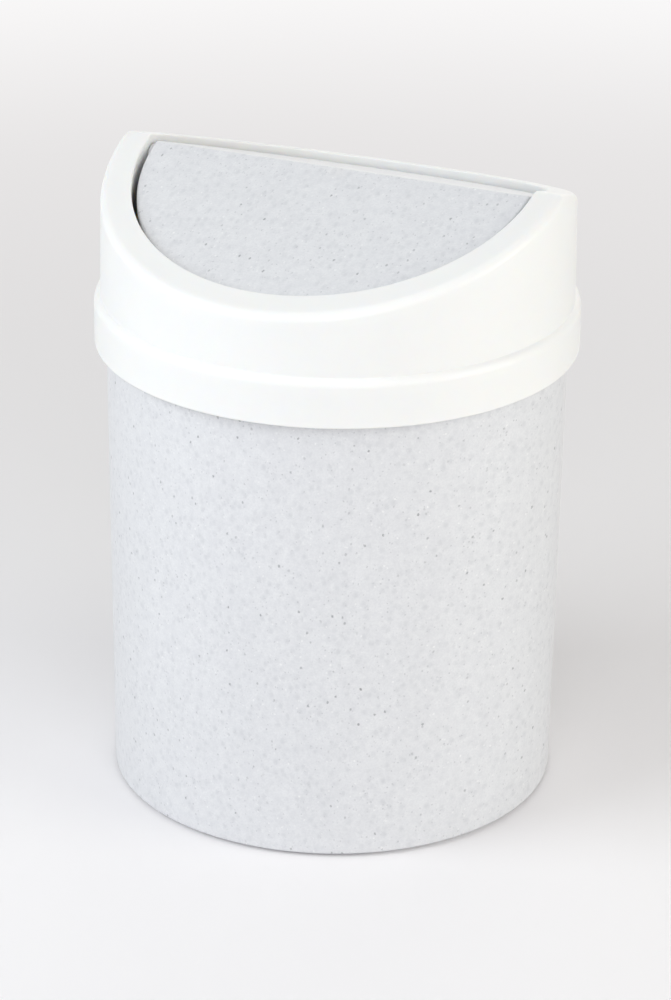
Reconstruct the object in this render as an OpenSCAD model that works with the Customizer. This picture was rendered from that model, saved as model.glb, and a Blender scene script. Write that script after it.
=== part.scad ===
// Countertop waste bin: a round bucket, a push-on collar with a gable roof, and a swing flap.
// The ridge of the roof runs along X, the front faces -Y, and the bucket stands on Z = 0.

/* [Bucket] */
// Height of the bucket, from the table to the top of its rim
bucket_h = 130.3; // [110:0.5:150]
// Outer diameter of the bucket at the table
bucket_base_d = 115.7; // [108:0.1:117]
// Outer diameter of the bucket wall at its top
bucket_top_d = 118.1; // [117.5:0.1:122]
// Thickness of the bucket wall
bucket_wall = 1.6; // [1.2:0.1:2.2]
// Thickness of the bucket floor
floor_t = 1.8; // [1.4:0.1:3]
// Height of the foot ring, by which the floor stands clear of the table
foot_h = 1.0; // [0.6:0.1:2]
// Width of the foot ring's flat face
foot_w = 2.4; // [1.6:0.1:4]
// How far the foot ring stands in from the bucket's wall
foot_inset = 1.6; // [1:0.1:3]
// Height of the bucket's lower outer edge above the table
foot_step = 0.8; // [0.4:0.1:0.9]
// Rounding of the bucket's lower outer edge
base_round = 0.8; // [0.4:0.1:1.5]
// Rounding where the floor meets the wall inside
floor_fillet = 3.0; // [1:0.5:6]
// How far the bead round the rim stands out from the wall
bead_out = 0.95; // [0.6:0.05:1.4]
// Height of the bead round the rim
bead_h = 3.2; // [2.4:0.1:5]

/* [Lid collar] */
// Height of the ridge above the bucket's rim
lid_rise = 36.4; // [32:0.1:42]
// Slope of the roof, down to the front and to the back
roof_angle = 17.9; // [12:0.1:19]
// Depth by which the skirt reaches down over the bucket
skirt_drop = 10.5; // [8:0.1:16]
// Thickness of the skirt
skirt_wall = 1.75; // [1.4:0.05:2.4]
// Radial play between the skirt and the bead of the rim
skirt_play = 0.25; // [0.2:0.05:0.4]
// How far the ring above the skirt stands in from the skirt
ring_step = 1.6; // [1:0.1:2.2]
// Height from the seat to the top of the rounded shoulder
shoulder_h = 2.2; // [1.5:0.1:3]
// Radius of the rounding between the skirt and the shoulder
shoulder_round = 2.6; // [2.3:0.1:3.5]
// Thickness of the ring's wall
ring_wall = 1.8; // [1.4:0.1:2.2]
// Inward draft of the ring's outer face
ring_draft = 0.9; // [0.5:0.1:1.5]
// Thickness of the face round the opening
face_t = 2.0; // [1.6:0.1:3]
// Radius of the opening at the ridge
opening_r = 52.3; // [48:0.1:53.5]
// Inward draft of the wall round the opening
opening_draft = 0.5; // [0:0.25:1]
// Thickness of the wall that hangs round the opening
throat_wall = 1.6; // [1.2:0.1:2]
// Depth of the wall that hangs round the opening
throat_drop = 12; // [11:0.5:16]

/* [Swing flap] */
// Gap between the flap's edge and the opening
flap_gap = 1.4; // [1.3:0.1:2.5]
// Slope of the flap's two panels
flap_angle = 18.8; // [12:0.1:19.4]
// How far the flap's ridge lies below the ridge of the roof
flap_recess = 1.6; // [1:0.1:2.2]
// Thickness of the flap's two panels
flap_t = 1.8; // [1.4:0.1:2.4]
// Height of the stiffening lip under the flap's edge
lip_h = 1.6; // [1:0.1:2]
// Width of the stiffening lip
lip_w = 1.4; // [1:0.1:2]
// Height of the rib that runs under the ridge
ridge_rib_h = 3.5; // [2:0.5:5]

/* [Pivot] */
// Diameter of the pivot pins moulded on the flap
pin_d = 4.0; // [3:0.1:4.4]
// Radial clearance of each pin in its socket
pin_clearance = 0.08; // [0.05:0.01:0.1]
// Depth of the pivot axis below the ridge of the roof
pivot_drop = 5.8; // [5.6:0.1:6.4]
// Length of each pin inside its socket
pin_reach = 2.9; // [2:0.1:3.2]
// Diameter of the boss round each socket
boss_d = 9; // [7.5:0.1:9.6]

/* [Hidden] */
$fn = 128;
granite = [0.885, 0.89, 0.9];
white = [0.965, 0.965, 0.955];
arc_steps = 6;
bucket_base_r = bucket_base_d / 2;
bucket_top_r = bucket_top_d / 2;
foot_out_r = bucket_base_r - foot_inset;
foot_in_r = foot_out_r - foot_w;
foot_draft = 0.4;
floor_top = foot_h + floor_t;
rim_round = bucket_wall / 2.6;
bead_r = bucket_top_r + bead_out;
bead_round = 0.45;
gate_d = 7;
gate_depth = 0.3;
gate_nub_d = 1.8;
seat_gap = 0.1;
seat_z = bucket_h + seat_gap;
ridge_z = bucket_h + lid_rise;
reach = 90;
skirt_in_r = bead_r + skirt_play;
skirt_r = skirt_in_r + skirt_wall;
skirt_z = seat_z - skirt_drop;
skirt_round = 0.5;
lead_in = 0.6;
shoulder_z = seat_z + shoulder_h;
shoulder_arc = acos(1 - ring_step / shoulder_round);
ring_r = skirt_r - ring_step;
ring_top_r = ring_r - (ridge_z - shoulder_z) * tan(ring_draft);
ring_in_r = ring_r - ring_wall;
ring_in_top_r = ring_top_r - ring_wall;
face_drop = face_t / cos(roof_angle);
pivot_z = ridge_z - pivot_drop;
socket_r = pin_d / 2 + pin_clearance;
socket_depth = pin_reach + 0.6;
boss_len = socket_depth + 0.9;
groove_w = pin_d + 0.5;
groove_depth = 0.7;
flap_r = opening_r - flap_gap;
flap_drop = flap_t / cos(flap_angle);
lip_r = flap_r - 1;
collar_d = 6.4;
collar_end = opening_r - 0.35;
lug_d = 7.6;
lug_t = 3.2;
lug_out = lip_r - 0.2;
rib_t = 1.4;
pin_chamfer = 0.5;

// Points of an arc about a centre, with both its ends
function arc(centre, r, from, to) =
    [for (i = [0:arc_steps]) let (a = from + (to - from) * i / arc_steps)
        centre + r * [cos(a), sin(a)]];

// Outer radius of the bucket wall at a height
function bucket_r(z) = bucket_base_r + (bucket_top_r - bucket_base_r) * z / bucket_h;

// Everything below a gable roof whose ridge lies lower than the lid's by drop
module under_roof(drop, angle) {
    top = ridge_z - drop;
    eaves = top - reach * tan(angle);
    rotate([90, 0, 90])
        linear_extrude(2 * reach, center = true)
            polygon([[-reach, -reach], [reach, -reach], [reach, eaves], [0, top], [-reach, eaves]]);
}

// A layer that follows a gable roof, between two depths below the lid's ridge
module roof_layer(drop, bottom, angle) {
    difference() {
        under_roof(drop, angle);
        under_roof(bottom, angle);
    }
}

// A cylinder along X, from one distance to another, drawn at both ends of the ridge
module at_both_ends(from, to, d) {
    for (side = [0, 180])
        rotate([0, 0, side])
            translate([from, 0, pivot_z])
                rotate([0, 90, 0])
                    cylinder(h = to - from, d = d);
}

// Half section of the bucket: foot ring, wall with draft, bead and floor
module bucket_section() {
    bead_z = bucket_h - bead_h;
    in_top_r = bucket_top_r - bucket_wall;
    in_base_r = bucket_r(floor_top) - bucket_wall;
    polygon(concat(
        [[0, foot_h], [foot_in_r - foot_draft, foot_h], [foot_in_r, 0], [foot_out_r, 0], [foot_out_r, foot_step]],
        arc([bucket_base_r - base_round, foot_step + base_round], base_round, -90, 0),
        [[bucket_r(bead_z), bead_z]],
        arc([bead_r - bead_round, bead_z + 2 * bead_round], bead_round, -60, 0),
        arc([bead_r - rim_round, bucket_h - rim_round], rim_round, 0, 90),
        arc([in_top_r + rim_round, bucket_h - rim_round], rim_round, 90, 180),
        arc([in_base_r - floor_fillet, floor_top + floor_fillet], floor_fillet, 0, -90),
        [[0, floor_top]]
    ));
}

module bucket() {
    color(granite)
        difference() {
            rotate_extrude()
                bucket_section();
            // Shallow dimple under the floor, with the moulding gate's nub left standing in it
            translate([0, 0, foot_h - 1])
                difference() {
                    cylinder(h = 1 + gate_depth, d = gate_d);
                    cylinder(h = 3, d = gate_nub_d);
                }
        }
}

// Half section of the collar's outside, filled to the axis, before the roof is cut
module collar_outside() {
    polygon(concat(
        [[0, skirt_z]],
        arc([skirt_r - skirt_round, skirt_z + skirt_round], skirt_round, -90, 0),
        arc([skirt_r - shoulder_round, shoulder_z - shoulder_round * sin(shoulder_arc)],
            shoulder_round, 0, shoulder_arc),
        [[ring_r, shoulder_z], [ring_top_r, ridge_z]],
        [[ring_top_r, ridge_z + 1], [0, ridge_z + 1]]
    ));
}

// Half section of the hollow inside the collar, with the seat that rests on the rim
module collar_inside() {
    polygon([
        [0, skirt_z - 1],
        [skirt_in_r + lead_in, skirt_z - 1],
        [skirt_in_r + lead_in, skirt_z],
        [skirt_in_r, skirt_z + 2 * lead_in],
        [skirt_in_r, seat_z],
        [ring_in_r, seat_z],
        [ring_in_r, shoulder_z],
        [ring_in_top_r, ridge_z],
        [0, ridge_z]
    ]);
}

// The opening, a little narrower at its foot than at the ridge
module opening() {
    translate([0, 0, ridge_z])
        mirror([0, 0, 1])
            cylinder(h = ridge_z, r1 = opening_r, r2 = opening_r - ridge_z * tan(opening_draft));
}

// Wall round the opening, hanging from the face to an even depth
module throat() {
    intersection() {
        cylinder(h = ridge_z, r = opening_r + throat_wall);
        roof_layer(face_drop / 2, throat_drop, roof_angle);
    }
}

// Blind bores for the pins, and the shallow grooves that lead the pins up to them
module sockets() {
    at_both_ends(opening_r - 2, opening_r + socket_depth, 2 * socket_r);
    for (side = [-1, 1])
        translate([side * (opening_r + groove_depth - 1), 0, pivot_z - throat_drop / 2])
            cube([2, groove_w, throat_drop], center = true);
}

module lid_collar() {
    color(white)
        difference() {
            union() {
                difference() {
                    intersection() {
                        rotate_extrude()
                            collar_outside();
                        under_roof(0, roof_angle);
                    }
                    intersection() {
                        rotate_extrude()
                            collar_inside();
                        under_roof(face_drop, roof_angle);
                    }
                }
                throat();
                at_both_ends(opening_r - 2, opening_r + boss_len, boss_d);
            }
            opening();
            sockets();
        }
}

// The flap's two panels, as one bent disc
module flap_panels() {
    intersection() {
        cylinder(h = ridge_z, r = flap_r);
        roof_layer(flap_recess, flap_recess + flap_drop, flap_angle);
    }
}

// Stiffening lip that follows the flap's edge on the underside
module flap_lip() {
    top = flap_recess + flap_drop / 2;
    intersection() {
        difference() {
            cylinder(h = ridge_z, r = lip_r);
            cylinder(h = ridge_z, r = lip_r - lip_w);
        }
        roof_layer(top, flap_recess + flap_drop + lip_h, flap_angle);
    }
}

// Lugs under the ends of the ridge and the rib between them, cut to fit under the panels
module flap_lugs() {
    top = flap_recess + flap_drop / 2;
    intersection() {
        union() {
            at_both_ends(lug_out - lug_t, lug_out, lug_d);
            for (side = [-1, 1])
                translate([side * (lug_out - lug_t / 2), 0, pivot_z + lug_d / 2])
                    cube([lug_t, lug_d, lug_d], center = true);
            translate([0, 0, ridge_z - top - ridge_rib_h / 2 - flap_drop / 2])
                cube([2 * (lug_out - 1), rib_t, ridge_rib_h + flap_drop], center = true);
        }
        under_roof(top, flap_angle);
    }
}

module swing_flap() {
    color(granite) {
        flap_panels();
        flap_lip();
        flap_lugs();
        at_both_ends(lug_out - 1, collar_end, collar_d);
        at_both_ends(collar_end - 1, opening_r + pin_reach - pin_chamfer, pin_d);
        for (side = [0, 180])
            rotate([0, 0, side])
                translate([opening_r + pin_reach - pin_chamfer, 0, pivot_z])
                    rotate([0, 90, 0])
                        cylinder(h = pin_chamfer, d1 = pin_d, d2 = pin_d - 2 * pin_chamfer);
    }
}

bucket();
lid_collar();
swing_flap();
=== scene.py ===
from math import acos, atan2, ceil, cos, pi, radians, sin, tan

import bmesh
import bpy
from mathutils import Matrix, Vector


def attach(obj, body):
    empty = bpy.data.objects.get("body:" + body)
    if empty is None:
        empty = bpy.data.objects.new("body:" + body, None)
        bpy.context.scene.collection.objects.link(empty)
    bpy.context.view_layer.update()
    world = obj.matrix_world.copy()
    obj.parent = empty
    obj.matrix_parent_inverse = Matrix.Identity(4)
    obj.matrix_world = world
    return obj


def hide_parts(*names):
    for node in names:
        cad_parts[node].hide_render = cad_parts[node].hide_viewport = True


# Countertop waste bin: granite-look bucket, white push-on lid, granite-look swing flap.
# The tables below are in millimetres and degrees. Blender's scene is in metres.

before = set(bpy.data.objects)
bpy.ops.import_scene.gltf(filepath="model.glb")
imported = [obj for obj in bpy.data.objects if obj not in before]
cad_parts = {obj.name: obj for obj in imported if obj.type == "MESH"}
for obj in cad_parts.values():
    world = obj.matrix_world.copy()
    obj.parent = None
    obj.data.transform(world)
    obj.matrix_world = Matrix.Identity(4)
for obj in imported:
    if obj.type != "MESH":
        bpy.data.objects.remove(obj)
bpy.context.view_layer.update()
mm = 0.001
print("frame loaded:", ", ".join(sorted(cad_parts)))


# colours are written as sRGB hex, shader sockets want linear
def linearColour(hexCode):
    parts = [int(hexCode[i:i + 2], 16) / 255 for i in (0, 2, 4)]
    return [p / 12.92 if p <= 0.04045 else ((p + 0.055) / 1.055) ** 2.4 for p in parts] + [1.0]


# adds one node; an input given as a socket is linked, anything else is typed in
def addNode(tree, kind, inputs=None, **settings):
    node = tree.nodes.new(kind)
    for name, value in settings.items():
        setattr(node, name, value)
    for key, value in (inputs or {}).items():
        if isinstance(value, bpy.types.NodeSocket):
            tree.links.new(value, node.inputs[key])
        else:
            node.inputs[key].default_value = value
    return node


def mathNode(tree, operation, *terms):
    return addNode(tree, "ShaderNodeMath", dict(enumerate(terms)), operation=operation).outputs[0]


def mixNode(tree, factor, first, second):
    return addNode(tree, "ShaderNodeMix", {0: factor, 6: first, 7: second}, data_type="RGBA").outputs[2]


def rangeNode(tree, value, fromMin, fromMax, toMin=0.0, toMax=1.0, curve="LINEAR"):
    limits = {"Value": value, "From Min": fromMin, "From Max": fromMax, "To Min": toMin, "To Max": toMax}
    return addNode(tree, "ShaderNodeMapRange", limits, interpolation_type=curve).outputs[0]


# size is that of one blotch, in millimetres
def noiseNode(tree, place, size, detail, roughness=0.5):
    return addNode(tree, "ShaderNodeTexNoise",
                   {"Vector": place, "Scale": 1 / (size * mm), "Detail": detail, "Roughness": roughness})


def bumpNode(tree, height, strength, depth):
    return addNode(tree, "ShaderNodeBump",
                   {"Height": height, "Strength": strength, "Distance": depth * mm}).outputs[0]


def newMaterial(name):
    material = bpy.data.materials.new(name)
    material.use_nodes = True
    tree = material.node_tree
    tree.nodes.clear()
    return material, tree


def newObject(name, mesh):
    made = bpy.data.objects.new(name, mesh)
    bpy.context.scene.collection.objects.link(made)
    return made


# camera, matched to the photograph's viewing angle
cameraView = {
    "azimuth": 22.80,      # degrees round from the front, towards +X
    "elevation": 23.81,
    "roll": 0.72,
    "distance": 1000.0,
    "aim": (0.08, 0.03, 74.0),
    "lens": 138.06,        # on a 36 mm sensor laid along the picture's long side
}

turn, rise, lean = (radians(cameraView[k]) for k in ("azimuth", "elevation", "roll"))
towards = Vector((cos(rise) * sin(turn), -cos(rise) * cos(turn), sin(rise)))
levelRight = Vector((cos(turn), sin(turn), 0))
levelUp = towards.cross(levelRight)
right = cos(lean) * levelRight + sin(lean) * levelUp
up = cos(lean) * levelUp - sin(lean) * levelRight
camera = newObject("photoCamera", bpy.data.cameras.new("photoCamera"))
camera.data.sensor_width = 36
camera.data.lens = cameraView["lens"]
camera.data.clip_start = 0.01
camera.data.clip_end = 20
camera.matrix_world = Matrix.Translation(
    (Vector(cameraView["aim"]) + towards * cameraView["distance"]) * mm
) @ Matrix((right, up, towards)).transposed().to_4x4()
bpy.context.scene.camera = camera
print("camera placed")


# Granite-look polypropylene, injection moulded with a speckle masterbatch in a fine satin tool:
# a pale cool grey, cloudy at half a millimetre, with small flakes of several greys in it.
# Each size is that of one blotch, and each share is the most of that colour that shows.
graniteFinish = {
    "paler": "E8E9EB", "deeper": "DFE0E3", "cloudSize": 0.55,
    "patch": "D6D7DB", "patchSize": 2.4, "patchShare": 0.38,
    "drift": "D3D4D8", "driftSize": 9.0, "driftShare": 0.16, "driftStretch": 0.22,
    "shakeSize": 0.4, "shakeReach": 0.55, "flakeScale": (1.3, 0.75, 1.0),
    "roughness": 0.34, "roughnessSwing": 0.05, "ior": 1.49,
    "peelSize": 0.9, "peelStrength": 0.35, "peelDepth": 0.02,
}
# grain spacing, grain radius, how soft its edge is, its colour, how much of it shows,
# share of the grains that are left out
graniteGrains = [
    (2.0, 0.75, 0.8, "BCBEC3", 0.34, 0.10),   # flakes just under the surface, seen as faint smudges
    (1.2, 0.23, 0.4, "A8AAAF", 0.50, 0.30),   # dust of grey
    (1.8, 0.27, 0.4, "FCFCFC", 0.55, 0.40),   # pale flakes
    (2.7, 0.36, 0.4, "85878C", 0.75, 0.50),   # the flakes that the eye picks out
    (11.0, 0.36, 0.3, "2B2B2D", 0.70, 0.50),  # a rare dark one
]


def graniteMaterial(name, grain):
    material, tree = newMaterial(name)
    place = addNode(tree, "ShaderNodeTexCoord").outputs["Object"]
    # the flakes are not round: the place is shaken a little before it is used
    shake = noiseNode(tree, place, grain["shakeSize"], 1.0).outputs["Color"]
    shaken = addNode(tree, "ShaderNodeVectorMath", {0: shake, 1: (0.5, 0.5, 0.5)},
                     operation="SUBTRACT").outputs[0]
    shaken = addNode(tree, "ShaderNodeVectorMath",
                     {0: shaken, 1: (grain["shakeReach"] * mm,) * 3, 2: place},
                     operation="MULTIPLY_ADD").outputs[0]
    cloud = noiseNode(tree, place, grain["cloudSize"], 3.0, 0.62).outputs["Fac"]
    colour = mixNode(tree, rangeNode(tree, cloud, 0.33, 0.67),
                     linearColour(grain["deeper"]), linearColour(grain["paler"]))
    # thinner and thicker pigment, a few millimetres across
    patch = noiseNode(tree, place, grain["patchSize"], 2.0).outputs["Fac"]
    colour = mixNode(tree, rangeNode(tree, patch, 0.35, 0.7, 0.0, grain["patchShare"]),
                     colour, linearColour(grain["patch"]))
    # melt flow drew the pigment out along the wall, so the slow change of tone is long and thin
    stretched = addNode(tree, "ShaderNodeMapping",
                        {"Vector": place, "Scale": (1.0, 1.0, grain["driftStretch"])})
    drift = noiseNode(tree, stretched.outputs[0], grain["driftSize"], 3.0).outputs["Fac"]
    colour = mixNode(tree, rangeNode(tree, drift, 0.3, 0.7, 0.0, grain["driftShare"]),
                     colour, linearColour(grain["drift"]))
    for layer, (spacing, radius, softness, hexCode, strength, absent) in enumerate(graniteGrains):
        # each layer is turned its own way, so that no two line up with each other or with the wall,
        # and its flakes are a little longer than wide
        tipped = addNode(tree, "ShaderNodeMapping",
                         {"Vector": shaken, "Rotation": (0.4 + layer, 0.7 + 0.6 * layer, 0.3 + 0.8 * layer),
                          "Scale": grain["flakeScale"]})
        cell = addNode(tree, "ShaderNodeTexVoronoi",
                       {"Vector": tipped.outputs[0], "Scale": 1 / (spacing * mm), "Randomness": 1.0})
        spot = rangeNode(tree, cell.outputs["Distance"], (1 + softness) * radius / spacing,
                         (1 - softness) * radius / spacing, curve="SMOOTHSTEP")
        # each flake has its own strength, and some are left out
        lot = addNode(tree, "ShaderNodeSeparateColor", {"Color": cell.outputs["Color"]}).outputs[0]
        factor = mathNode(tree, "MULTIPLY", spot, rangeNode(tree, lot, absent, 1.0, 0.0, strength))
        colour = mixNode(tree, factor, colour, linearColour(hexCode))
    sheen = rangeNode(tree, cloud, 0.3, 0.7, grain["roughness"] - grain["roughnessSwing"],
                      grain["roughness"] + grain["roughnessSwing"])
    peel = noiseNode(tree, place, grain["peelSize"], 2.0).outputs["Fac"]
    shader = addNode(tree, "ShaderNodeBsdfPrincipled",
                     {"Base Color": colour, "Roughness": sheen, "IOR": grain["ior"],
                      "Normal": bumpNode(tree, peel, grain["peelStrength"], grain["peelDepth"])})
    addNode(tree, "ShaderNodeOutputMaterial", {"Surface": shader.outputs[0]})
    return material


# White polypropylene, injection moulded: opaque but faintly milky, with the slight waviness
# of a thin moulded wall
whiteFinish = {
    "body": "F5F5F3", "milkier": "F2F2F1", "flowSize": 14.0,
    "roughness": 0.34, "roughnessSwing": 0.04, "rubSize": 2.5, "ior": 1.49,
    "depth": 0.35, "reach": 2.0,    # how much light goes into the thin wall, and how far
    "waveSize": 1.6, "waveStrength": 0.25, "waveDepth": 0.015,
}


def whiteMaterial(name, white):
    material, tree = newMaterial(name)
    place = addNode(tree, "ShaderNodeTexCoord").outputs["Object"]
    flow = noiseNode(tree, place, white["flowSize"], 2.0).outputs["Fac"]
    colour = mixNode(tree, flow, linearColour(white["body"]), linearColour(white["milkier"]))
    rub = noiseNode(tree, place, white["rubSize"], 4.0).outputs["Fac"]
    sheen = rangeNode(tree, rub, 0.3, 0.7, white["roughness"] - white["roughnessSwing"],
                      white["roughness"] + white["roughnessSwing"])
    wave = noiseNode(tree, place, white["waveSize"], 2.0).outputs["Fac"]
    shader = addNode(tree, "ShaderNodeBsdfPrincipled",
                     {"Base Color": colour, "Roughness": sheen, "IOR": white["ior"],
                      "Normal": bumpNode(tree, wave, white["waveStrength"], white["waveDepth"]),
                      "Subsurface Weight": white["depth"], "Subsurface Scale": white["reach"] * mm,
                      "Subsurface Radius": (1.0, 0.8, 0.6)})
    addNode(tree, "ShaderNodeOutputMaterial", {"Surface": shader.outputs[0]})
    return material


granite = graniteMaterial("granitePolypropylene", graniteFinish)
white = whiteMaterial("whitePolypropylene", whiteFinish)
print("materials made")


# Rounds the corners of a half section. Each corner is (radius, height, rounding, share of the
# roof's slope that it follows, draft, rows up to the next corner), and so is each point returned,
# without the rounding and the rows.
def roundedSection(corners, closed):
    count = len(corners)
    bends = []
    for k, (r, z, rounding, roof, draft, rows) in enumerate(corners):
        here = Vector((r, z))
        if not rounding:
            bends.append([here])
            continue
        back = (Vector(corners[k - 1][:2]) - here).normalized()
        ahead = (Vector(corners[(k + 1) % count][:2]) - here).normalized()
        half = acos(max(-1.0, min(1.0, back.dot(ahead)))) / 2
        centre = here + (back + ahead).normalized() * rounding / sin(half)
        first = here + back * rounding / tan(half) - centre
        last = here + ahead * rounding / tan(half) - centre
        start = atan2(first.y, first.x)
        sweep = (atan2(last.y, last.x) - start + pi) % (2 * pi) - pi
        steps = max(2, ceil(abs(sweep) / radians(12 if rounding > 0.9 else 20)))
        angles = [start + sweep * i / steps for i in range(steps + 1)]
        bends.append([centre + rounding * Vector((cos(a), sin(a))) for a in angles])
    points = []
    for k, (r, z, rounding, roof, draft, rows) in enumerate(corners):
        points += [(p.x, p.y, roof, draft) for p in bends[k]]
        if k + 1 < count or closed:
            following = corners[(k + 1) % count]
            a, b = bends[k][-1], bends[(k + 1) % count][0]
            for i in range(1, rows):
                s = i / rows
                p = a.lerp(b, s)
                points.append((p.x, p.y, roof + (following[3] - roof) * s,
                               draft + (following[4] - draft) * s))
    return points + points[:1] if closed else points


# Geometry nodes: turns a half section about the upright axis, and lets a gable roof fold it down.
# The grid's first direction runs along the section, its second round the axis.
def turnedTree():
    tree = bpy.data.node_groups.new("turnedUnderRoof", "GeometryNodeTree")
    face = tree.interface
    face.new_socket("Section", in_out="INPUT", socket_type="NodeSocketGeometry")
    for name, kind, value in (("Segments", "Int", 480), ("Ridge Crowding", "Float", 0.0),
                              ("Roof Slope", "Float", 0.0), ("Ridge Softness", "Float", 0.0005),
                              ("Material", "Material", None)):
        socket = face.new_socket(name, in_out="INPUT", socket_type="NodeSocket" + kind)
        if value is not None:
            socket.default_value = value
    face.new_socket("Geometry", in_out="OUTPUT", socket_type="NodeSocketGeometry")
    given = addNode(tree, "NodeGroupInput").outputs
    section = given["Section"]
    count = addNode(tree, "GeometryNodeAttributeDomainSize", {"Geometry": section},
                    component="MESH").outputs["Point Count"]
    columns = mathNode(tree, "ADD", given["Segments"], 1.0)
    grid = addNode(tree, "GeometryNodeMeshGrid",
                   {"Size X": 1.0, "Size Y": 1.0, "Vertices X": count, "Vertices Y": columns})
    place = addNode(tree, "GeometryNodeInputPosition").outputs[0]
    spot = addNode(tree, "ShaderNodeSeparateXYZ", {0: place})
    along = mathNode(tree, "ADD", spot.outputs["X"], 0.5)
    along = mathNode(tree, "MULTIPLY", along, mathNode(tree, "SUBTRACT", count, 1.0))
    index = mathNode(tree, "ROUND", along)
    part = mathNode(tree, "ADD", spot.outputs["Y"], 0.5)
    # columns stand closer together at both ends of the ridge
    whole = mathNode(tree, "MULTIPLY", part, 2 * pi)
    wave = mathNode(tree, "SINE", mathNode(tree, "MULTIPLY", part, 4 * pi))
    crowd = mathNode(tree, "MULTIPLY", given["Ridge Crowding"], -0.5)
    angle = mathNode(tree, "MULTIPLY_ADD", wave, crowd, whole)
    across, deep = mathNode(tree, "COSINE", angle), mathNode(tree, "SINE", angle)

    def readFrom(kind, source):
        sample = addNode(tree, "GeometryNodeSampleIndex",
                         {"Geometry": section, "Value": source, "Index": index},
                         data_type=kind, domain="POINT")
        return sample.outputs[0]

    def attribute(name):
        return addNode(tree, "GeometryNodeInputNamedAttribute", {"Name": name}, data_type="FLOAT").outputs[0]

    drawn = addNode(tree, "ShaderNodeSeparateXYZ", {0: readFrom("FLOAT_VECTOR", place)})
    roofShare = readFrom("FLOAT", attribute("roofShare"))
    draft = readFrom("FLOAT", attribute("draft"))
    radius = drawn.outputs["X"]
    softness, slope = given["Ridge Softness"], given["Roof Slope"]
    softSquare = mathNode(tree, "MULTIPLY", softness, softness)
    # the roof falls away from the ridge; a drafted wall shifts with it, so the fall is worked out twice
    for turnNumber in range(2):
        offset = mathNode(tree, "MULTIPLY", radius, deep)
        root = mathNode(tree, "SQRT", mathNode(tree, "MULTIPLY_ADD", offset, offset, softSquare))
        run = mathNode(tree, "SUBTRACT", root, softness)
        fall = mathNode(tree, "MULTIPLY", mathNode(tree, "MULTIPLY", run, slope), roofShare)
        if turnNumber == 0:
            shift = mathNode(tree, "MULTIPLY", fall, draft)
            radius = mathNode(tree, "SUBTRACT", drawn.outputs["X"], shift)
    x = mathNode(tree, "MULTIPLY", radius, across)
    z = mathNode(tree, "SUBTRACT", drawn.outputs["Z"], fall)
    joined = addNode(tree, "ShaderNodeCombineXYZ", {0: x, 1: offset, 2: z})
    shape = addNode(tree, "GeometryNodeSetPosition",
                    {"Geometry": grid.outputs["Mesh"], "Position": joined.outputs[0]})
    shape = addNode(tree, "GeometryNodeMergeByDistance",
                    {"Geometry": shape.outputs[0], "Distance": 0.0004 * mm})
    shape = addNode(tree, "GeometryNodeRealizeInstances", {"Geometry": shape.outputs[0]})
    shape = addNode(tree, "GeometryNodeSetMaterial",
                    {"Geometry": shape.outputs[0], "Material": given["Material"]})
    addNode(tree, "NodeGroupOutput", {"Geometry": shape.outputs[0]})
    return tree


# the evaluated object as a plain mesh; faceOutwards below turns its outside faces outwards
def bakedMesh(made, name):
    graph = bpy.context.evaluated_depsgraph_get()
    mesh = bpy.data.meshes.new_from_object(made.evaluated_get(graph), preserve_all_data_layers=True,
                                           depsgraph=graph)
    mesh.name = name
    bpy.data.objects.remove(made)
    return mesh


def faceOutwards(mesh):
    shape = bmesh.new()
    shape.from_mesh(mesh)
    bmesh.ops.recalc_face_normals(shape, faces=shape.faces)
    shape.to_mesh(mesh)
    shape.free()


turned = turnedTree()


def turnedPiece(name, points, facts, material):
    mesh = bpy.data.meshes.new(name)
    mesh.from_pydata([(r * mm, 0, z * mm) for r, z, roof, draft in points],
                     [(i, i + 1) for i in range(len(points) - 1)], [])
    for attribute, column in (("roofShare", 2), ("draft", 3)):
        values = [p[column] for p in points]
        mesh.attributes.new(attribute, "FLOAT", "POINT").data.foreach_set("value", values)
    made = newObject(name, mesh)
    modifier = made.modifiers.new("turned", "NODES")
    modifier.node_group = turned
    values = {"Segments": facts["segments"], "Ridge Crowding": facts.get("crowding", 0.0),
              "Roof Slope": tan(radians(facts.get("roofAngle", 0))),
              "Ridge Softness": facts.get("ridgeSoftness", 0.5) * mm, "Material": material}
    for item in turned.interface.items_tree:
        if item.item_type == "SOCKET" and item.in_out == "INPUT" and item.name in values:
            modifier[item.identifier] = values[item.name]
    mesh = bakedMesh(made, name)
    faceOutwards(mesh)
    return newObject(name, mesh)


# an outline in Y and Z, drawn out along X; one is made at each end of the ridge
def outlineAlongX(name, outline, start, end, chamfer=0.0, sides=(-1, 1)):
    shape = bmesh.new()
    centreY = sum(p[0] for p in outline) / len(outline)
    centreZ = sum(p[1] for p in outline) / len(outline)
    for side in sides:
        stations = [(start, 0.0), (end, chamfer)]
        if chamfer:
            stations.insert(1, (end - chamfer, 0.0))
        rings = []
        for x, inset in stations:
            ring = []
            for y, z in outline:
                away = Vector((y - centreY, z - centreZ))
                away *= 1 - inset / away.length
                ring.append(shape.verts.new(Vector((side * x, centreY + away.x, centreZ + away.y)) * mm))
            rings.append(ring)
        for a, b in zip(rings, rings[1:]):
            for i in range(len(outline)):
                j = (i + 1) % len(outline)
                shape.faces.new((a[i], a[j], b[j], b[i]))
        shape.faces.new(rings[0])
        shape.faces.new(rings[-1])
    bmesh.ops.recalc_face_normals(shape, faces=shape.faces)
    mesh = bpy.data.meshes.new(name)
    shape.to_mesh(mesh)
    shape.free()
    return newObject(name, mesh)


def circleOutline(diameter, centreZ, count=64, start=0.0, sweep=360.0):
    last = count if sweep == 360.0 else count - 1
    return [(diameter / 2 * cos(radians(start + sweep * i / last)),
             centreZ + diameter / 2 * sin(radians(start + sweep * i / last))) for i in range(count)]


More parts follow.
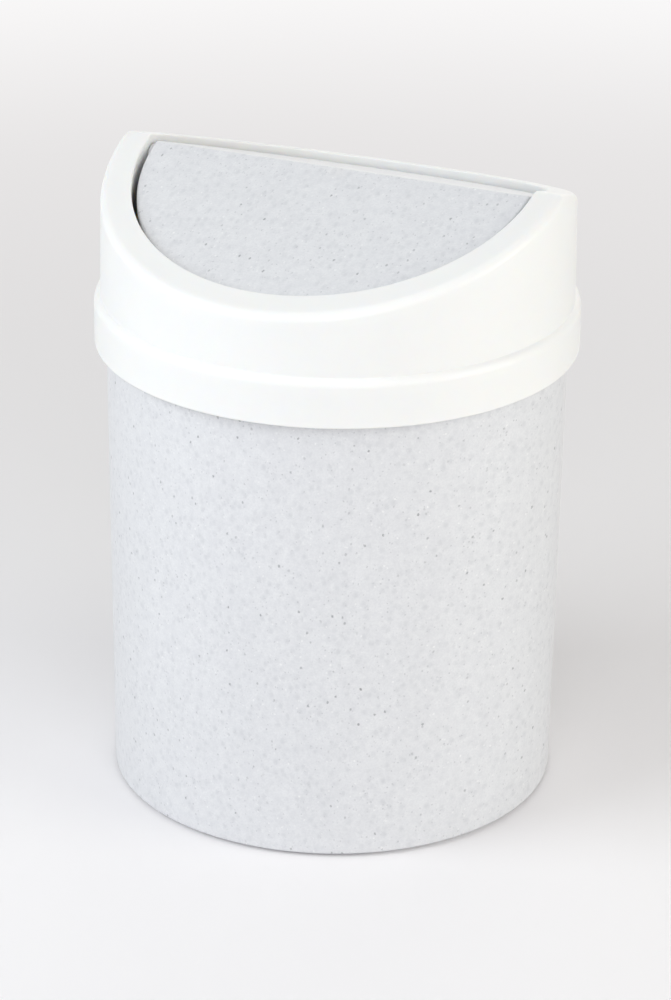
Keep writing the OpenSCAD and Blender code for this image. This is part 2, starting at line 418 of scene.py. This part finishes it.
# joins or cuts closed shapes, one after another
def withShapes(made, steps):
    name = made.name
    for operation, tool in steps:
        modifier = made.modifiers.new(operation.lower(), "BOOLEAN")
        modifier.operation = operation
        modifier.solver = "MANIFOLD"
        modifier.object = tool
    mesh = bakedMesh(made, name)
    for operation, tool in steps:
        bpy.data.objects.remove(tool)
    return newObject(name, mesh)


cornerAngle = radians(38)     # a sharper edge than this stays an edge


# smooth but for the real corners, with large faces kept flat in the shading
def finishPiece(made, name, material, node, body):
    mesh = made.data
    mesh.materials.clear()
    mesh.materials.append(material)
    mesh.polygons.foreach_set("material_index", [0] * len(mesh.polygons))
    mesh.polygons.foreach_set("use_smooth", [True] * len(mesh.polygons))
    mesh.set_sharp_from_angle(angle=cornerAngle)
    weighted = made.modifiers.new("weighted", "WEIGHTED_NORMAL")
    weighted.keep_sharp = True
    mesh = bakedMesh(made, name)
    made = newObject(name, mesh)
    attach(made, body)
    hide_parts(node)
    print(name, "done:", len(mesh.polygons), "faces")
    return made


# The bucket: thin drafted wall, foot ring, bead round the rim
bucketShape = {
    "height": 130.3, "baseRadius": 57.85, "topRadius": 59.05, "wall": 1.6,
    "floor": 1.8, "footHeight": 1.0, "footWidth": 2.4, "footInset": 1.6, "footStep": 0.8,
    "baseRound": 0.7, "floorFillet": 3.0,
    "beadOut": 0.95, "beadHeight": 3.2, "beadRound": 0.45,
    # diameter and depth of the dimple underneath, diameter of the nub in it
    "gate": (7.0, 0.3, 1.8),
    "segments": 384,
}


def bucketCorners(b):
    def wallRadius(z):
        return b["baseRadius"] + (b["topRadius"] - b["baseRadius"]) * z / b["height"]
    gateWide, gateDeep, nubWide = b["gate"]
    footOuter = b["baseRadius"] - b["footInset"]
    footInner = footOuter - b["footWidth"]
    floorTop = b["footHeight"] + b["floor"]
    beadFoot = b["height"] - b["beadHeight"]
    beadRadius = b["topRadius"] + b["beadOut"]
    rimRound = b["wall"] / 2.6
    innerTop = b["topRadius"] - b["wall"]
    innerBase = wallRadius(floorTop) - b["wall"]
    under = b["footHeight"]
    return [
        (0, under, 0, 0, 0, 1),
        (nubWide / 2, under, 0.1, 0, 0, 1),
        (nubWide / 2, under + gateDeep, 0.1, 0, 0, 1),
        (gateWide / 2, under + gateDeep, 0.1, 0, 0, 1),
        (gateWide / 2, under, 0.15, 0, 0, 6),
        (footInner - 0.4, under, 0.3, 0, 0, 1),
        (footInner, 0, 0.3, 0, 0, 2),
        (footOuter, 0, 0.15, 0, 0, 1),
        (footOuter, b["footStep"], 0.15, 0, 0, 1),
        (wallRadius(b["footStep"]), b["footStep"], b["baseRound"], 0, 0, 24),
        (wallRadius(beadFoot), beadFoot, 0.3, 0, 0, 1),
        (beadRadius, beadFoot + 0.5 * b["beadOut"], b["beadRound"], 0, 0, 1),
        (beadRadius, b["height"], rimRound, 0, 0, 1),
        (innerTop, b["height"], rimRound, 0, 0, 20),
        (innerBase, floorTop, b["floorFillet"], 0, 0, 10),
        (0, floorTop, 0, 0, 0, 1),
    ]


bucketSection = roundedSection(bucketCorners(bucketShape), False)
bucket = turnedPiece("bucket.shell", bucketSection, bucketShape, granite)
bucket = finishPiece(bucket, "graniteBucket", granite, "bucket", "bucket")


# The lid: a skirt that grips the bead, a rounded shoulder, and a ring cut off by a gable roof
lidShape = {
    "ridge": 166.7, "roofAngle": 17.9, "ridgeSoftness": 0.55,
    "skirtRadius": 62.0, "skirtInner": 60.25, "skirtFoot": 119.9, "skirtRound": 0.5, "leadIn": 0.6,
    "seat": 130.4, "shoulder": 132.6, "shoulderRound": 2.6, "shoulderSteps": 8,
    "ringStep": 1.6, "hollow": 0.35,
    "ringDraft": 0.9, "ringWall": 1.8, "faceThick": 2.0,
    "rimRound": 2.0, "openingRound": 0.5,
    "opening": 52.3, "openingDraft": 0.5, "throatWall": 1.6, "throatDrop": 12.0,
    "pivotDrop": 5.8, "bossDiameter": 9.0, "bossLength": 4.4, "bossRoot": 0.3, "bossChamfer": 0.4,
    "socketDiameter": 4.16, "socketDepth": 3.5, "cutStart": 2,
    "grooveWidth": 4.5, "grooveDepth": 0.7, "grooveDrop": 12,
    "segments": 560, "crowding": 0.86,
}


def lidCorners(c):
    ringRadius = c["skirtRadius"] - c["ringStep"]
    draft = tan(radians(c["ringDraft"]))
    inward = tan(radians(c["openingDraft"]))
    ringTop = ringRadius - (c["ridge"] - c["shoulder"]) * draft
    innerFoot, innerTop = ringRadius - c["ringWall"], ringTop - c["ringWall"]
    under = c["ridge"] - c["faceThick"] / cos(radians(c["roofAngle"]))
    throatFoot = c["ridge"] - c["throatDrop"]
    arc = acos(1 - c["ringStep"] / c["shoulderRound"])
    arcRadius = c["skirtRadius"] - c["shoulderRound"]
    arcHeight = c["shoulder"] - c["shoulderRound"] * sin(arc)
    angles = [arc * i / c["shoulderSteps"] for i in range(c["shoulderSteps"])]
    shoulder = [(arcRadius + c["shoulderRound"] * cos(a), arcHeight + c["shoulderRound"] * sin(a),
                 0, 0, 0, 1) for a in angles]
    return [
        (c["skirtInner"] + c["leadIn"], c["skirtFoot"], 0.2, 0, 0, 1),
        (c["skirtRadius"], c["skirtFoot"], c["skirtRound"], 0, 0, 3),
        *shoulder,
        (ringRadius, c["shoulder"], c["hollow"], 0, -draft, 12),
        (ringTop, c["ridge"], c["rimRound"], 1, -draft, 5),
        (c["opening"], c["ridge"], c["openingRound"], 1, inward, 4),
        (c["opening"] - c["throatDrop"] * inward, throatFoot, 0.4, 1, inward, 1),
        (c["opening"] + c["throatWall"], throatFoot, 0.4, 1, 0, 4),
        (c["opening"] + c["throatWall"], under, 0.5, 1, 0, 2),
        (innerTop, under, 0.8, 1, -draft, 12),
        (innerFoot, c["seat"], 0, 0, 0, 1),
        (c["skirtInner"], c["seat"], 0.3, 0, 0, 4),
        (c["skirtInner"], c["skirtFoot"] + 2 * c["leadIn"], 0.3, 0, 0, 1),
    ]


lid = turnedPiece("lid.ring", roundedSection(lidCorners(lidShape), True), lidShape, white)
pivotHeight = lidShape["ridge"] - lidShape["pivotDrop"]
opening = lidShape["opening"]
cutStart = opening - lidShape["cutStart"]
boss = outlineAlongX("boss", circleOutline(lidShape["bossDiameter"], pivotHeight),
                     opening + lidShape["bossRoot"], opening + lidShape["bossLength"],
                     lidShape["bossChamfer"])
socket = outlineAlongX("socket", circleOutline(lidShape["socketDiameter"], pivotHeight),
                       cutStart, opening + lidShape["socketDepth"])
half, grooveFoot = lidShape["grooveWidth"] / 2, pivotHeight - lidShape["grooveDrop"]
grooveOutline = [(-half, pivotHeight), (-half, grooveFoot), (half, grooveFoot), (half, pivotHeight)]
groove = outlineAlongX("groove", grooveOutline, cutStart, opening + lidShape["grooveDepth"])
lid = withShapes(lid, [("UNION", boss), ("DIFFERENCE", socket), ("DIFFERENCE", groove)])
lid = finishPiece(lid, "whiteLid", white, "lid_collar", "collar")


# The flap: two panels that meet at a ridge, a stiffening lip, a rib, lugs and the two pivot pins
flapShape = {
    "radius": 50.9, "recess": 1.6, "thick": 1.8, "edgeRound": 0.5, "underRound": 0.3,
    "lipHeight": 1.6, "lipWidth": 1.4, "lipInset": 1.0,
    "ribHeight": 3.5, "ribThick": 1.4, "lugDiameter": 7.6, "lugThick": 3.2,
    "collarDiameter": 6.4, "pinDiameter": 4.0, "pinReach": 2.9, "pinChamfer": 0.5,
    "lugInset": 0.2, "overlap": 1, "wallPlay": 0.35,
    "roofAngle": 18.8, "ridgeSoftness": 0.35, "segments": 560, "crowding": 0.86,
}


def flapCorners(f, ridge):
    top = ridge - f["recess"]
    under = top - f["thick"] / cos(radians(f["roofAngle"]))
    lipRadius = f["radius"] - f["lipInset"]
    lipFoot = under - f["lipHeight"]
    return [
        (0, top, 0, 1, 0, 10),
        (f["radius"], top, f["edgeRound"], 1, 0, 1),
        (f["radius"], under, f["underRound"], 1, 0, 1),
        (lipRadius, under, 0.2, 1, 0, 1),
        (lipRadius, lipFoot, 0.3, 1, 0, 1),
        (lipRadius - f["lipWidth"], lipFoot, 0.3, 1, 0, 1),
        (lipRadius - f["lipWidth"], under, 0.4, 1, 0, 8),
        (0, under, 0, 1, 0, 1),
    ]


flapSection = roundedSection(flapCorners(flapShape, lidShape["ridge"]), False)
flap = turnedPiece("flap.panels", flapSection, flapShape, granite)
slope = tan(radians(flapShape["roofAngle"]))
flapTop = lidShape["ridge"] - flapShape["recess"]
buried = flapTop - flapShape["thick"] / 2      # a height inside the panels' thickness
lugEnd = flapShape["radius"] - flapShape["lipInset"] - flapShape["lugInset"]
neckEnd, overlap = opening - flapShape["wallPlay"], flapShape["overlap"]
lugHalf, ribHalf = flapShape["lugDiameter"] / 2, flapShape["ribThick"] / 2
lug = outlineAlongX(
    "lug", circleOutline(2 * lugHalf, pivotHeight, 33, 180, 180)
    + [(lugHalf, buried - slope * lugHalf), (0, buried), (-lugHalf, buried - slope * lugHalf)],
    lugEnd - flapShape["lugThick"], lugEnd)
ribFoot = flapTop - flapShape["thick"] - flapShape["ribHeight"]
rib = outlineAlongX("rib", [(-ribHalf, ribFoot), (ribHalf, ribFoot), (ribHalf, buried - slope * ribHalf),
                            (0, buried), (-ribHalf, buried - slope * ribHalf)],
                    overlap - lugEnd, lugEnd - overlap, sides=(1,))
neck = outlineAlongX("neck", circleOutline(flapShape["collarDiameter"], pivotHeight),
                     lugEnd - overlap, neckEnd)
pin = outlineAlongX("pin", circleOutline(flapShape["pinDiameter"], pivotHeight), neckEnd - overlap,
                    opening + flapShape["pinReach"], flapShape["pinChamfer"])
flap = withShapes(flap, [("UNION", rib), ("UNION", lug), ("UNION", neck), ("UNION", pin)])
flap = finishPiece(flap, "graniteFlap", granite, "swing_flap", "flap")


# Studio: a pale floor that washes out to a glowing backdrop, painted darker near the bin as shade, five soft
# lamps and an even sky
studio = {
    "floor": "F6F4F5", "floorRadius": 4000, "sky": "FFFFFF", "skyLevel": 0.30,
    # the backdrop's colour close by, darker as painted shade, and far off, and where one gives way to the
    # other
    "near": "E9E7E7", "behind": "FBFAFA", "paintedShadeSpan": (480, 800),
    "washSpan": (140, 600),     # from all floor to all backdrop
    "lampAim": 90,              # height that the lamps point at
    # place round from the front, height, distance, width, watts and colour
    "lamps": [("leftLamp", -45, 30, 800, 600, 3.3, "F6FCFF"),
              ("frontLamp", 30, 30, 1000, 900, 2.7, "FCFCFF"),
              ("rightLamp", 90, 16, 900, 700, 3.0, "FFFEF4"),
              ("topLamp", 0, 85, 900, 900, 1.2, "FFFFFF"),
              ("backLamp", -170, 22, 900, 700, 1.2, "FFFDF6")],
}


# 1 for what the camera or gloss sees, 0 for other light
def lookedAt(tree):
    path = addNode(tree, "ShaderNodeLightPath")
    return mathNode(tree, "MAXIMUM", path.outputs["Is Camera Ray"], path.outputs["Is Glossy Ray"])


# the paper is lit as it is near the bin, and further off it is seen as a glowing backdrop with painted
# shade, darker close to the bin and brighter far off
ground, tree = newMaterial("palePaperFloor")
paper = addNode(tree, "ShaderNodeBsdfPrincipled",
                {"Base Color": linearColour(studio["floor"]), "Roughness": 0.8, "Specular IOR Level": 0.2})
place = addNode(tree, "ShaderNodeTexCoord").outputs["Object"]
spread = addNode(tree, "ShaderNodeVectorMath", {0: place}, operation="LENGTH").outputs["Value"]
away, paintedShadeFade = (rangeNode(tree, spread, *(length * mm for length in studio[span]), curve="SMOOTHSTEP")
                for span in ("washSpan", "paintedShadeSpan"))
# painted shade: the backdrop's glow is darker close to the bin and brightens far off
backdrop = mixNode(tree, paintedShadeFade, linearColour(studio["near"]), linearColour(studio["behind"]))
backdrop = addNode(tree, "ShaderNodeEmission", {"Color": backdrop, "Strength": 1.0})
seen = mathNode(tree, "MULTIPLY", away, lookedAt(tree))
washed = addNode(tree, "ShaderNodeMixShader", {0: seen, 1: paper.outputs[0], 2: backdrop.outputs[0]})
addNode(tree, "ShaderNodeOutputMaterial", {"Surface": washed.outputs[0]})
shape = bmesh.new()
bmesh.ops.create_circle(shape, cap_ends=True, radius=studio["floorRadius"] * mm, segments=96)
mesh = bpy.data.meshes.new("floor")
shape.to_mesh(mesh)
shape.free()
mesh.materials.append(ground)
floor = newObject("floor", mesh)

lampTarget = Vector((0, 0, studio["lampAim"] * mm))
for name, azimuth, height, distance, width, watts, hexCode in studio["lamps"]:
    lamp = bpy.data.lights.new(name, "AREA")
    lamp.shape = "DISK"
    lamp.size = width * mm
    lamp.energy = watts
    lamp.color = linearColour(hexCode)[:3]
    holder = newObject(name, lamp)
    a, h = radians(azimuth), radians(height)
    holder.location = Vector((cos(h) * sin(a), -cos(h) * cos(a), sin(h))) * distance * mm + lampTarget
    holder.rotation_euler = (lampTarget - holder.location).to_track_quat("-Z", "Y").to_euler()

world = bpy.data.worlds.new("evenSky")
world.use_nodes = True
tree = world.node_tree
tree.nodes.clear()
sky = addNode(tree, "ShaderNodeBackground",
              {"Color": linearColour(studio["sky"]), "Strength": studio["skyLevel"]})
# gloss shows the same pale surroundings that the camera sees
behind = addNode(tree, "ShaderNodeBackground", {"Color": linearColour(studio["behind"]), "Strength": 1.0})
mixed = addNode(tree, "ShaderNodeMixShader", {0: lookedAt(tree), 1: sky.outputs[0], 2: behind.outputs[0]})
addNode(tree, "ShaderNodeOutputWorld", {"Surface": mixed.outputs[0]})
bpy.context.scene.world = world
bpy.context.scene.view_settings.view_transform = "Standard"
print("studio lit")
